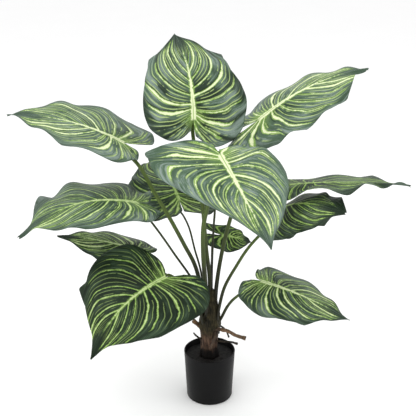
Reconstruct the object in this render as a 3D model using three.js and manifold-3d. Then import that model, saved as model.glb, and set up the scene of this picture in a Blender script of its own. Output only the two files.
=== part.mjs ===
// A potted house plant: twelve heart-shaped leaves on long stems, a short brown
// trunk with root stubs, and a plain black pot with a hard filling.
// Millimetres, +Z up. The origin is the middle of the pot's underside, the front is -Y.
import * as THREE from "three";
import { mergeVertices } from "three/addons/utils/BufferGeometryUtils.js";
import Module from "manifold-3d";

const GAP = 0.3; // clearance between pieces that touch
const TOLERANCE = 0.01;

const POT_HEIGHT = 100;
const POT_TOP_RADIUS = 50;
const POT_BASE_RADIUS = 45;
const POT_WALL = 2;
const POT_FLOOR = 3;
const POT_CHAMFER = 2;
const POT_SEGMENTS = 40;

const FILLING_TOP = 88;
const FILLING_RINGS = 4;
const FILLING_BUMP = 1.2; // height of its lumps
const FILLING_LUMPS = [7, 9, 5]; // and their sizes along x, along y and slantwise
const FILLING_FLAT_EDGE = 0.25; // share of the radius in which they die out at the wall

const TRUNK_BOTTOM = 45;
const TRUNK_TOP = 176;
const TRUNK_RIDGES = 7;
const TRUNK_RIDGE_HEIGHT = 0.06; // share of the radius
const TRUNK_TWIST = 0.9; // radians from bottom to top
const TRUNK_SEGMENTS = 28;
const TRUNK_PROFILE = [
  [15, TRUNK_BOTTOM],
  [15.5, 80],
  [18.5, 90],
  [16.5, 104],
  [16.5, 124],
  [18.5, 142],
  [21.5, 156],
  [20.5, 167],
  [18.5, TRUNK_TOP - 2],
  [15, TRUNK_TOP],
];

const SOCKET_DEPTH = 22; // how far a stem goes down from its root point into the trunk
const SOCKET_LEAN = 0.94; // and how near the middle it ends, against the root point
const STEM_SIDES = 7;
const STEM_STEPS = 16;
const STEM_SPACING = 1.5; // above 1 the rings lie closer together towards the blade
const STEM_NECK = 0.8; // thickness at the blade, as a share of the thickness at the trunk
const NECK_DROP = 18; // the stem bends over to the midrib from this far below the notch
const NECK_SETBACK = 8; // and from this far behind it
const WIRE_RADIUS = 1; // the stem's thin end under the blade
const WIRE_REACH = 0.42; // how far that end runs under the midrib, as a share of the blade's length
const WIRE_POINTS = [0.05, 0.2, WIRE_REACH]; // places on the way that it passes under

const BLADE_THICKNESS = 1;
const BLADE_ROWS = 18;
const BLADE_COLUMNS = 4; // on each side of the midrib
const VEIN_START_POWER = 1.7; // veins start closer together near the notch
const VEIN_SWEEP = 0.35; // and bend towards the tip on their way out
const WAVES = 4.5; // waves along each margin
const TIP_HALF_WIDTH = 0.6;
const NOTCH_HALF_WIDTH = 0.5;
const MIDRIB_END = 0.985;
const CLEFT_FADE = 10; // how fast a cleft's change dies out along the margin
const LEAST_CURL = 1e-6; // keeps a flat half's curl off zero

// Half of a blade's outline, from the inner corner of the basal lobe round to the tip:
// along the midrib in shares of the length, and across in shares of the half width.
const OUTLINE = [
  [-0.14, 0.08],
  [-0.23, 0.3],
  [-0.2, 0.66],
  [-0.04, 0.92],
  [0.16, 1],
  [0.38, 0.92],
  [0.58, 0.71],
  [0.76, 0.41],
  [0.9, 0.14],
  [1, 0],
];

// One entry for each leaf. base is the notch, where the stem meets the blade, and tip
// the far end. Where a value has two numbers they are for the left and the right half.
// half is the half width, reach how far the basal lobes go back, against OUTLINE's, and
// skew how far each half leans towards the tip, as a share of its width. slim narrows
// it towards the tip, and widens it where negative. notch moves the notch and the
// midrib's start into the blade, as a share of the length. cleft moves the basal lobes' inner
// edges apart, or together where negative, as a share of the half width. bumps are
// corners in the margin, or dents where negative: each has its place on the way from the
// notch (0) to the tip (1), its height as a share of the half width, and how far it
// runs to either side.
// roll turns the blade about the line from base to tip, in degrees. arch and sweep bow
// the midrib up and sideways. fold and curl raise the halves, in degrees at the midrib
// and on to the margin. wave is the height of the margin's waves, whose first one starts
// at phase, in turns.
// The stem stands at root in the trunk's top and passes through the points of via.
const LEAVES = [
  {
    name: "leaf_01_top",
    base: [-29, 14, 565],
    tip: [-65, 132, 696],
    half: [88, 98],
    reach: [0.85, 1.3],
    skew: [0, 0],
    slim: [-0.3, -0.15],
    notch: 0,
    cleft: -0.02,
    bumps: [
      [[0.556, -0.06, 0.14], [0.722, 0.05, 0.06]],
      [[0, -0.07, 0.12], [0.347, 0.1, 0.15], [0.611, -0.05, 0.07], [0.75, 0.13, 0.06]],
    ],
    roll: 0,
    arch: 14,
    sweep: 6,
    fold: [6, 6],
    curl: [-18, -18],
    wave: [3, 3],
    phase: 0,
    stem: {
      radius: 4.2,
      root: [0.5, -1.5, 178],
      via: [[0, 0, 258], [-6, 0, 314], [-15, 2, 425]],
    },
  },
  {
    name: "leaf_02_right_top",
    base: [90, 39, 558],
    tip: [291, 80, 643],
    half: [70, 60],
    reach: [0.65, 1.4],
    skew: [0, 0],
    slim: [0, -0.6],
    notch: 0,
    cleft: -0.1,
    bumps: [
      [[0.333, 0.42, 0.14], [0.611, 0.03, 0.06]],
      [
        [0, -0.1, 0.07], [0.333, 0.05, 0.05], [0.389, 0.15, 0.05], [0.452, -0.11, 0.05],
        [0.5, 0.03, 0.04], [0.59, -0.04, 0.05], [0.76, 0.11, 0.07], [0.9, -0.12, 0.07],
      ],
    ],
    roll: 22,
    arch: 20,
    sweep: 0,
    fold: [-12, -8],
    curl: [-25, -25],
    wave: [4, 4],
    phase: 0.28,
    stem: {
      radius: 4.2,
      root: [10, -1, 178],
      via: [[13, 2, 236], [24, 4, 312], [40, 6, 382], [58, 18, 446]],
    },
  },
  {
    name: "leaf_03_left_top",
    base: [-165, 20, 524],
    tip: [-357, -5, 578],
    half: [66, 98],
    reach: [0.85, 1.45],
    skew: [0, 0],
    slim: [-0.4, 0.2],
    notch: -0.05,
    cleft: 0,
    bumps: [[[0.611, 0.06, 0.06]], [[0.333, 0.14, 0.08], [0.58, -0.05, 0.06], [0.87, -0.09, 0.08]]],
    roll: -17,
    arch: 15,
    sweep: 0,
    fold: [4, 0],
    curl: [-12, -12],
    wave: [4, 4],
    phase: 0.0,
    stem: {
      radius: 4.2,
      root: [-10.5, 1.5, 178],
      via: [
      [-14, 0, 222], [-28, -4, 286], [-46, -9, 327], [-70, -14, 379], [-99, -11, 432],
      [-126, -2, 480],
    ],
    },
  },
  {
    name: "leaf_04_left_middle",
    base: [-133, -40, 426],
    tip: [-333, -100, 382],
    half: [52, 84],
    reach: [0.75, 0.72],
    skew: [0, 0],
    slim: [-0.6, -0.5],
    notch: -0.02,
    cleft: 0,
    bumps: [[[0.6, 0.08, 0.08], [0.88, -0.09, 0.1]], [[0.444, 0.05, 0.06], [0.8, 0.3, 0.08]]],
    roll: -14,
    arch: 34,
    sweep: 0,
    fold: [-2, -2],
    curl: [-18, -18],
    wave: [3, 6],
    phase: 0.33,
    stem: {
      radius: 2.4,
      root: [-13, -6, 178],
      via: [[-20, -10, 232], [-69, -15, 319], [-91, -18, 356], [-109, -16, 382]],
    },
  },
  {
    name: "leaf_05_left_small",
    base: [-131, 34, 297],
    tip: [-290, 24, 333],
    half: [54, 50],
    reach: [0.7, 0.8],
    skew: [0, 0],
    slim: [0, 0],
    notch: 0,
    cleft: 0,
    bumps: [[[0.611, 0.06, 0.06]], [[0.444, 0.06, 0.06], [0.667, -0.04, 0.06]]],
    roll: -15,
    arch: 8,
    sweep: 0,
    fold: [-6, -6],
    curl: [-18, -18],
    wave: [2, 2],
    phase: 0.4,
    stem: {
      radius: 2.4,
      root: [-9.5, 10, 178],
      via: [[-42, 18, 218], [-78, 27, 246]],
    },
  },
  {
    name: "leaf_06_left_low",
    base: [-80, -60, 288],
    tip: [-213, -140, 163],
    half: [100, 107],
    reach: [0.9, 0.35],
    skew: [0, 0],
    slim: [0.2, 0],
    notch: 0,
    cleft: 0.05,
    bumps: [[[0.58, 0.07, 0.1], [0.84, -0.07, 0.12]], [[0.69, 0.16, 0.06], [0.87, -0.11, 0.14]]],
    roll: -45,
    arch: 10,
    sweep: 20,
    fold: [-4, -4],
    curl: [-14, -14],
    wave: [3, 3],
    phase: 0.45,
    stem: {
      radius: 3.2,
      root: [-12, -13, 165],
      via: [[-30, -30, 226]],
    },
  },
  {
    name: "leaf_07_front",
    base: [15, -60, 528],
    tip: [104, -145, 380],
    half: [96, 128],
    reach: [0.15, 0.65],
    skew: [0.3, -0.38],
    slim: [0, 0.78],
    notch: 0.04,
    cleft: -0.06,
    bumps: [[[0.35, -0.1, 0.1], [0.5, 0.05, 0.14]], [[0.31, 0.08, 0.05], [0.39, -0.06, 0.05]]],
    roll: 36,
    arch: 12,
    sweep: 0,
    fold: [-8, -4],
    curl: [-25, -16],
    wave: [3, 3],
    phase: 0.7,
    stem: {
      radius: 4.7,
      root: [-4, -11, 178],
      via: [[-9, -18, 266], [-12, -26, 325], [-11, -35, 379], [-3, -42, 424]],
    },
  },
  {
    name: "leaf_08_right",
    base: [148, 0, 446],
    tip: [360, -30, 453],
    half: [56, 54],
    reach: [1, 1],
    skew: [0, 0],
    slim: [-0.3, 0.8],
    notch: 0,
    cleft: 0,
    bumps: [
      [[0.444, -0.3, 0.17], [0.75, 0.2, 0.08]],
      [[0.444, -0.35, 0.1], [0.611, 0.28, 0.08], [0.833, -0.14, 0.06]],
    ],
    roll: 0,
    arch: 6,
    sweep: 0,
    fold: [-6, -4],
    curl: [0, -12],
    wave: [2, 7],
    phase: 0.8,
    stem: {
      radius: 2.4,
      root: [5.5, 7.5, 178],
      via: [[4, 7, 240], [9, 6, 380], [14, 6, 416], [45, 8, 446], [95, 6, 444]],
    },
  },
  {
    name: "leaf_09_right_middle",
    base: [122, 20, 382],
    tip: [241, -62, 413],
    half: [62, 70],
    reach: [1, 0.6],
    skew: [0.15, 0.2],
    slim: [-0.6, -0.2],
    notch: 0,
    cleft: 0,
    bumps: [
      [[0.5, -0.3, 0.2], [0.89, 0.35, 0.13]],
      [[0.5, -0.04, 0.06], [0.58, -0.07, 0.06], [0.833, 0.12, 0.06]],
    ],
    roll: 35,
    arch: 30,
    sweep: 0,
    fold: [-22, 0],
    curl: [-20, -20],
    wave: [3, 3],
    phase: 0.1,
    stem: {
      radius: 3.4,
      root: [14.5, -8.5, 170],
      via: [[19.5, -5, 202], [29, -4, 240], [50, -3, 282], [74, 2, 320]],
    },
  },
  {
    name: "leaf_10_back_left",
    base: [-58, 44, 399],
    tip: [-116, 170, 441],
    half: [92, 86],
    reach: [1.15, 1.3],
    skew: [0, 0],
    slim: [0, 0],
    notch: 0,
    cleft: -0.09,
    bumps: [[[0.5, 0.05, 0.06], [0.611, -0.05, 0.06]], [[0.556, 0.05, 0.06]]],
    roll: 0,
    arch: 14,
    sweep: 0,
    fold: [0, 0],
    curl: [-14, -14],
    wave: [3, 3],
    phase: 0.6,
    stem: {
      radius: 2.2,
      root: [-4, 8, 178],
      via: [[-18, 18, 268], [-28, 22, 305], [-39, 32, 347], [-49, 37, 368]],
    },
  },
  {
    name: "leaf_11_centre_small",
    base: [26, 80, 311],
    tip: [84, 100, 287],
    half: [22, 32],
    reach: [3.2, 3.2],
    skew: [0, 0],
    slim: [0, 0],
    notch: 0,
    cleft: 0,
    bumps: [[], []],
    roll: 50,
    arch: 4,
    sweep: 0,
    fold: [0, 0],
    curl: [0, -20],
    wave: [2, 2],
    phase: 0.25,
    stem: {
      radius: 2.2,
      root: [1, 13, 178],
      via: [[3, 24, 235], [4, 30, 275]],
    },
  },
  {
    name: "leaf_12_right_low",
    base: [98, -20, 260],
    tip: [261, -60, 198],
    half: [60, 74],
    reach: [0.4, 0.8],
    skew: [0, 0],
    slim: [-0.2, 0],
    notch: 0,
    cleft: -0.05,
    bumps: [[[0.556, 0.05, 0.06]], [[0.5, -0.04, 0.06], [0.667, 0.06, 0.06]]],
    roll: 14,
    arch: 8,
    sweep: 0,
    fold: [-4, -4],
    curl: [-18, -18],
    wave: [3, 3],
    phase: 0.5,
    stem: {
      radius: 3.2,
      root: [18, 1, 158],
      via: [[25.5, -3, 178], [35.5, -6, 200.5], [48.6, -9, 218.4]],
    },
  },
];

const ROOT_SIDES = 6;
// Root stubs: from inside the trunk outwards, with the thickness along the way.
const ROOTS = [
  {
    name: "root_right",
    points: [[12, -15, 155], [23, -16, 153.5], [36, -16, 150], [51, -20, 143], [70, -24, 139]],
    radii: [3.4, 3.6, 3.2, 4],
    color: 0x6e5037,
  },
  {
    name: "root_left",
    points: [[-13, -2, 146], [-22, -3, 157], [-31, -6, 167]],
    radii: [4, 4, 4.4],
    color: 0x7a5a3c,
  },
  {
    name: "root_front",
    points: [[6, -8, 152], [13, -18, 146], [7, -24, 132], [2, -27, 119]],
    radii: [3, 3, 2.8, 2.2],
    color: 0x8a6a48,
  },
  {
    name: "twig_left",
    points: [[-8, -4, 124], [-22, -10, 133], [-31, -14, 145]],
    radii: [1.8, 1.8, 1.5],
    color: 0x2b241d,
  },
  {
    name: "twig_right",
    points: [[10, 12, 152], [26, 6, 146], [34, 4, 137], [38, 2, 126]],
    radii: [1.9, 1.9, 1.6],
    color: 0x3a2c20,
  },
  {
    name: "twig_rim",
    points: [[8, -6, 124], [24, -14, 126], [40, -20, 129], [54, -26, 128]],
    radii: [1.8, 1.8, 1.6, 2.6],
    color: 0x54402d,
  },
];

const LOOKS = {
  blade: { color: 0x24402a, roughness: 0.55, metalness: 0 },
  stem: { color: 0x3f5a26, roughness: 0.5, metalness: 0 },
  trunk: { color: 0x4a3b2e, roughness: 0.7, metalness: 0 },
  filling: { color: 0x1e1a17, roughness: 0.9, metalness: 0 },
  pot: { color: 0x17181a, roughness: 0.45, metalness: 0 },
};

const wasm = await Module();
wasm.setup();

function degrees(value) {
  return THREE.MathUtils.degToRad(value);
}

function welded(geometry) {
  const bare = geometry.index ? geometry.toNonIndexed() : geometry.clone();
  bare.deleteAttribute("normal");
  bare.deleteAttribute("uv");
  return mergeVertices(bare, TOLERANCE / 10);
}

function solid(geometry) {
  const merged = welded(geometry);
  return new wasm.Manifold(
    new wasm.Mesh({
      numProp: 3,
      vertProperties: new Float32Array(merged.attributes.position.array),
      triVerts: new Uint32Array(merged.index.array),
    }),
  );
}

function geometryOf(manifold) {
  const mesh = manifold.getMesh();
  const geometry = new THREE.BufferGeometry();
  geometry.setAttribute("position", new THREE.BufferAttribute(mesh.vertProperties, 3));
  geometry.setIndex(new THREE.BufferAttribute(mesh.triVerts, 1));
  geometry.computeVertexNormals();
  return geometry;
}

function named(name, geometry, look) {
  const mesh = new THREE.Mesh(geometry, new THREE.MeshStandardMaterial(look));
  mesh.name = name;
  return mesh;
}

// ---------------------------------------------------------------- blades

const outlineCurve = new THREE.CatmullRomCurve3(
  OUTLINE.map(([along, across]) => new THREE.Vector3(along, across, 0)),
  false,
  "centripetal",
);

function leafFrame(leaf) {
  const base = new THREE.Vector3(...leaf.base);
  const tip = new THREE.Vector3(...leaf.tip);
  const along = tip.clone().sub(base);
  const length = along.length();
  along.normalize();
  const face = new THREE.Vector3(0, 0, 1);
  face.addScaledVector(along, -face.dot(along)).normalize();
  face.applyAxisAngle(along, degrees(leaf.roll));
  const right = along.clone().cross(face);
  return { base, along, face, right, length };
}

// The midrib's height above its chord, and its slope, at a share q of the length.
function bow(q) {
  return q >= 0 ? 4 * q * (1 - q) : 4 * q * (1 + 2 * q);
}

function bowSlope(q) {
  return q >= 0 ? 4 - 8 * q : 4 + 16 * q;
}

function bumpHeight(bumps, s) {
  let sum = 0;
  for (const [place, height, run] of bumps) {
    sum += height * Math.max(1 - Math.abs(s - place) / run, 0);
  }
  return sum;
}

// A point of the blade's middle surface. s runs from the notch's edge to the tip, and
// t from the midrib (0) to the margin (1). side is 0 for the left half, 1 for the right.
function bladePoint(leaf, frame, s, t, side) {
  const margin = outlineCurve.getPointAt(s);
  const half = leaf.half[side];
  const fullness = Math.max(1 - leaf.slim[side] * Math.max(margin.x, 0), 0);
  const end = margin.x < 0 ? margin.x * leaf.reach[side] : margin.x;
  const start = leaf.notch + (MIDRIB_END - leaf.notch) * s ** VEIN_START_POWER;
  const cleft = leaf.cleft * (1 - s) ** CLEFT_FADE;
  const edge = margin.y + cleft + bumpHeight(leaf.bumps[side], s);
  const wide = Math.max(edge * half * fullness, TIP_HALF_WIDTH);
  const across = (wide + NOTCH_HALF_WIDTH * (1 - s)) * t;
  const lean = (leaf.skew[side] * across) / frame.length;
  const q = start + (end - start) * t ** (1 + VEIN_SWEEP * s) + lean;

  const fold = degrees(leaf.fold[side]);
  const curl = degrees(leaf.curl[side]) || LEAST_CURL;
  const turned = fold + (curl * across) / half;
  const sideways = (half / curl) * (Math.sin(turned) - Math.sin(fold));
  const raised = (half / curl) * (Math.cos(fold) - Math.cos(turned));
  const wave = leaf.wave[side] * t * t * Math.sin(2 * Math.PI * (WAVES * s + leaf.phase + side / 4));
  const height = raised + wave;

  const slope = Math.atan((leaf.arch * bowSlope(q)) / frame.length);
  const x = q * frame.length - Math.sin(slope) * height;
  const y = leaf.sweep * bow(q) + (side ? sideways : -sideways);
  const z = leaf.arch * bow(q) + Math.cos(slope) * height;
  return frame.base
    .clone()
    .addScaledVector(frame.along, x)
    .addScaledVector(frame.right, y)
    .addScaledVector(frame.face, z);
}

// The blade as a solid: two offset copies of one grid, split into triangles alike.
function bladeGeometry(leaf, thickness) {
  const frame = leafFrame(leaf);
  const columns = 2 * BLADE_COLUMNS;
  const middle = [];
  for (let row = 0; row <= BLADE_ROWS; row += 1) {
    for (let column = 0; column <= columns; column += 1) {
      const offset = column - BLADE_COLUMNS;
      const side = offset > 0 ? 1 : 0;
      const t = Math.abs(offset) / BLADE_COLUMNS;
      middle.push(bladePoint(leaf, frame, row / BLADE_ROWS, t, side));
    }
  }
  const at = (row, column) => row * (columns + 1) + column;
  const faces = [];
  for (let row = 0; row < BLADE_ROWS; row += 1) {
    for (let column = 0; column < columns; column += 1) {
      const a = at(row, column);
      const b = at(row, column + 1);
      const c = at(row + 1, column + 1);
      const d = at(row + 1, column);
      if (column < BLADE_COLUMNS) faces.push([a, b, c], [a, c, d]);
      else faces.push([a, b, d], [b, c, d]);
    }
  }
  const sheet = new THREE.BufferGeometry().setFromPoints(middle);
  sheet.setIndex(faces.flat());
  sheet.computeVertexNormals();
  const normals = sheet.attributes.normal;
  const points = [];
  for (const lift of [thickness / 2, -thickness / 2]) {
    middle.forEach((point, i) => {
      const normal = new THREE.Vector3().fromBufferAttribute(normals, i);
      points.push(point.clone().addScaledVector(normal, lift));
    });
  }
  const under = middle.length;
  const index = [];
  for (const [a, b, c] of faces) index.push(a, b, c, under + a, under + c, under + b);
  const rim = [];
  for (let column = 0; column < columns; column += 1) rim.push(at(0, column));
  for (let row = 0; row < BLADE_ROWS; row += 1) rim.push(at(row, columns));
  for (let column = columns; column > 0; column -= 1) rim.push(at(BLADE_ROWS, column));
  for (let row = BLADE_ROWS; row > 0; row -= 1) rim.push(at(row, 0));
  rim.forEach((a, i) => {
    const b = rim[(i + 1) % rim.length];
    index.push(a, under + a, under + b, a, under + b, b);
  });
  const blade = new THREE.BufferGeometry().setFromPoints(points);
  blade.setIndex(index);
  return blade;
}

// ---------------------------------------------------------------- stems and roots

class GradedCurve extends THREE.CatmullRomCurve3 {
  constructor(points, spacing) {
    super(points, false, "centripetal");
    this.spacing = spacing;
  }

  getUtoTmapping(u, distance) {
    const graded = 1 - (1 - u) ** this.spacing;
    return super.getUtoTmapping(graded, distance);
  }
}

// A tube along a curve whose radius changes on the way: a thin tube whose rings are
// then widened about their centres.
function taperedTube(curve, steps, sides, radiusAt) {
  const thin = 0.5;
  const section = new THREE.Shape();
  for (let i = 0; i < sides; i += 1) {
    const angle = (2 * Math.PI * i) / sides;
    const point = [thin * Math.cos(angle), thin * Math.sin(angle)];
    if (i === 0) section.moveTo(...point);
    else section.lineTo(...point);
  }
  section.closePath();
  const tube = new THREE.ExtrudeGeometry(section, {
    steps,
    bevelEnabled: false,
    extrudePath: curve,
  });
  const centres = curve.getSpacedPoints(steps);
  const position = tube.attributes.position;
  const point = new THREE.Vector3();
  for (let i = 0; i < position.count; i += 1) {
    point.fromBufferAttribute(position, i);
    let ring = 0;
    centres.forEach((centre, k) => {
      if (centre.distanceTo(point) < centres[ring].distanceTo(point)) ring = k;
    });
    const centre = centres[ring];
    point.sub(centre).multiplyScalar(radiusAt(ring / steps) / thin).add(centre);
    position.setXYZ(i, point.x, point.y, point.z);
  }
  return tube;
}

function stemCurve(leaf) {
  const frame = leafFrame(leaf);
  const [x, y, z] = leaf.stem.root;
  const points = [
    new THREE.Vector3(x * SOCKET_LEAN, y * SOCKET_LEAN, z - SOCKET_DEPTH),
    new THREE.Vector3(x, y, z),
    ...leaf.stem.via.map((place) => new THREE.Vector3(...place)),
  ];
  const neck = leaf.stem.radius * STEM_NECK;
  const approach = bladePoint(leaf, frame, 0, 0, 0);
  approach.addScaledVector(frame.face, -NECK_DROP).addScaledVector(frame.along, -NECK_SETBACK);
  points.push(approach);
  for (const share of WIRE_POINTS) {
    const s = (share / MIDRIB_END) ** (1 / VEIN_START_POWER);
    const radius = THREE.MathUtils.lerp(neck, WIRE_RADIUS, share / WIRE_REACH);
    const under = bladePoint(leaf, frame, s, 0, 0);
    points.push(under.addScaledVector(frame.face, -(radius + BLADE_THICKNESS / 2 + GAP)));
  }
  return new GradedCurve(points, STEM_SPACING);
}

function stemGeometry(leaf, extra) {
  const curve = stemCurve(leaf);
  const frame = leafFrame(leaf);
  const wireShare = (WIRE_REACH * frame.length) / curve.getLength();
  const neck = leaf.stem.radius * STEM_NECK;
  const radiusAt = (u) => {
    const done = 1 - (1 - u) ** STEM_SPACING;
    const petiole = done / (1 - wireShare);
    const radius =
      petiole < 1
        ? THREE.MathUtils.lerp(leaf.stem.radius, neck, petiole)
        : THREE.MathUtils.lerp(neck, WIRE_RADIUS, (done - 1 + wireShare) / wireShare);
    return radius + extra;
  };
  return taperedTube(curve, STEM_STEPS, STEM_SIDES, radiusAt);
}

function rootGeometry(root, extra) {
  const curve = new THREE.CatmullRomCurve3(root.points.map((place) => new THREE.Vector3(...place)));
  const steps = 2 * (root.points.length - 1);
  const radiusAt = (u) => {
    const place = u * (root.radii.length - 1);
    const before = Math.min(Math.floor(place), root.radii.length - 2);
    return THREE.MathUtils.lerp(root.radii[before], root.radii[before + 1], place - before) + extra;
  };
  return taperedTube(curve, steps, ROOT_SIDES, radiusAt);
}

// ---------------------------------------------------------------- pot, filling and trunk

function innerRadius(z) {
  const slope = (POT_TOP_RADIUS - POT_BASE_RADIUS) / POT_HEIGHT;
  return POT_BASE_RADIUS + slope * z - POT_WALL;
}

function potGeometry() {
  const profile = [
    [0, 0],
    [POT_BASE_RADIUS - POT_CHAMFER, 0],
    [POT_BASE_RADIUS, POT_CHAMFER],
    [POT_TOP_RADIUS, POT_HEIGHT],
    [innerRadius(POT_HEIGHT), POT_HEIGHT],
    [innerRadius(POT_FLOOR), POT_FLOOR],
    [0, POT_FLOOR],
  ];
  return new THREE.LatheGeometry(
    profile.map(([r, z]) => new THREE.Vector2(r, z)),
    POT_SEGMENTS,
  ).rotateX(Math.PI / 2);
}

function fillingGeometry() {
  const bottom = POT_FLOOR + GAP;
  const profile = [
    [0, bottom],
    [innerRadius(bottom) - GAP, bottom],
    [innerRadius(FILLING_TOP) - GAP, FILLING_TOP],
  ];
  for (let ring = FILLING_RINGS - 1; ring >= 0; ring -= 1) {
    profile.push([(ring / FILLING_RINGS) * innerRadius(FILLING_TOP), FILLING_TOP]);
  }
  const geometry = new THREE.LatheGeometry(
    profile.map(([r, z]) => new THREE.Vector2(r, z)),
    POT_SEGMENTS,
  ).rotateX(Math.PI / 2);
  const position = geometry.attributes.position;
  for (let i = 0; i < position.count; i += 1) {
    if (position.getZ(i) < FILLING_TOP - TOLERANCE) continue;
    const [x, y] = [position.getX(i), position.getY(i)];
    const inside = 1 - Math.hypot(x, y) / innerRadius(FILLING_TOP);
    const [alongX, alongY, slantwise] = FILLING_LUMPS;
    const lumps = Math.sin(x / alongX) * Math.cos(y / alongY) + Math.sin((x + y) / slantwise) / 2;
    position.setZ(i, FILLING_TOP + FILLING_BUMP * lumps * Math.min(1, inside / FILLING_FLAT_EDGE));
  }
  return geometry;
}

function trunkGeometry(extra) {
  const profile = [[0, TRUNK_BOTTOM], ...TRUNK_PROFILE, [0, TRUNK_TOP]];
  const geometry = new THREE.LatheGeometry(
    profile.map(([r, z]) => new THREE.Vector2(r, z)),
    TRUNK_SEGMENTS,
  ).rotateX(Math.PI / 2);
  const position = geometry.attributes.position;
  for (let i = 0; i < position.count; i += 1) {
    const [x, y, z] = [position.getX(i), position.getY(i), position.getZ(i)];
    const radius = Math.hypot(x, y);
    if (radius < TOLERANCE) continue;
    const share = (z - TRUNK_BOTTOM) / (TRUNK_TOP - TRUNK_BOTTOM);
    const angle = Math.atan2(y, x) + TRUNK_TWIST * share;
    const ridge = TRUNK_RIDGE_HEIGHT * radius * Math.cos(TRUNK_RIDGES * angle);
    const wider = (radius + ridge + extra) / radius;
    position.setXY(i, x * wider, y * wider);
  }
  return geometry;
}

// ---------------------------------------------------------------- assembly

const plant = new THREE.Group();
plant.name = "potted_plant";

const cuts = [
  ...LEAVES.map((leaf) => solid(stemGeometry(leaf, GAP))),
  ...ROOTS.map((root) => solid(rootGeometry(root, GAP))),
];
let trunk = solid(trunkGeometry(0));
for (const cut of cuts) trunk = trunk.subtract(cut);
const filling = solid(fillingGeometry()).subtract(solid(trunkGeometry(GAP)));

plant.add(named("pot", potGeometry(), LOOKS.pot));
plant.add(named("filling", geometryOf(filling), LOOKS.filling));
plant.add(named("trunk", geometryOf(trunk), LOOKS.trunk));

for (const root of ROOTS) {
  const look = { ...LOOKS.trunk, color: root.color };
  plant.add(named(root.name, rootGeometry(root, 0), look));
}

for (const leaf of LEAVES) {
  const blade = bladeGeometry(leaf, BLADE_THICKNESS);
  const clearance = solid(bladeGeometry(leaf, BLADE_THICKNESS + 2 * GAP));
  const stem = solid(stemGeometry(leaf, 0)).subtract(clearance);
  plant.add(named(leaf.name + "_blade", blade, LOOKS.blade));
  plant.add(named(leaf.name + "_stem", geometryOf(stem), LOOKS.stem));
}

export default plant;
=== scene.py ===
"""A potted house plant: twelve striped heart-shaped leaves on long stems, a short brown
trunk with root stubs, and a plain black pot with a hard filling.

Sizes are in millimetres unless a comment says otherwise, and every mesh is made in
metres. +Z is up and the front is -Y."""
import math

import bmesh
import bpy
from mathutils import Matrix, Vector, noise


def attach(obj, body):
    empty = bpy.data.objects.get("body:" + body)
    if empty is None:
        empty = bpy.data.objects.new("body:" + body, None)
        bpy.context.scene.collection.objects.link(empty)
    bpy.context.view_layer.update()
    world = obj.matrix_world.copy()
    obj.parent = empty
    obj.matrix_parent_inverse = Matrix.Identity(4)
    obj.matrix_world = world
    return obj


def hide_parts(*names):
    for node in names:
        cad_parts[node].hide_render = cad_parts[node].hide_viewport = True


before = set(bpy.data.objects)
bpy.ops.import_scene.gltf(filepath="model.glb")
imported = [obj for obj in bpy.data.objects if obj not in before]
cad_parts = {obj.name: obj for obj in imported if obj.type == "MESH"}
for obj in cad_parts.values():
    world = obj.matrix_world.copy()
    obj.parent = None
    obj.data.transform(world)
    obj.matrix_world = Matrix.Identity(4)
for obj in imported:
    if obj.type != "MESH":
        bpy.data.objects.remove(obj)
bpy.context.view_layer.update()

MM = 0.001
BODY = "root"


def mm(*lengths):
    """Millimetres as metres."""
    return [length * MM for length in lengths]


# ---------- the plant's measures

BLADE_THICKNESS = 0.8
BLADE_ROWS = 72
BLADE_COLUMNS = 28  # on each side of the midrib
VEIN_START_POWER = 1.7  # veins start closer together near the notch
VEIN_SWEEP = 0.35  # and bend towards the tip on their way out
WAVES = 4.5  # waves along each margin
TIP_HALF_WIDTH = 0.6
NOTCH_HALF_WIDTH = 0.5
MIDRIB_END = 0.985
CLEFT_FADE = 10
NEARLY_ZERO = 1e-6
GAP = 0.3

# Half of a blade's outline, from the inner corner of the basal lobe round to the tip:
# along the midrib in shares of the length, and across in shares of the half width.
OUTLINE = [
    (-0.14, 0.08), (-0.23, 0.3), (-0.2, 0.66), (-0.04, 0.92), (0.16, 1),
    (0.38, 0.92), (0.58, 0.71), (0.76, 0.41), (0.9, 0.14), (1, 0),
]

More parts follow.
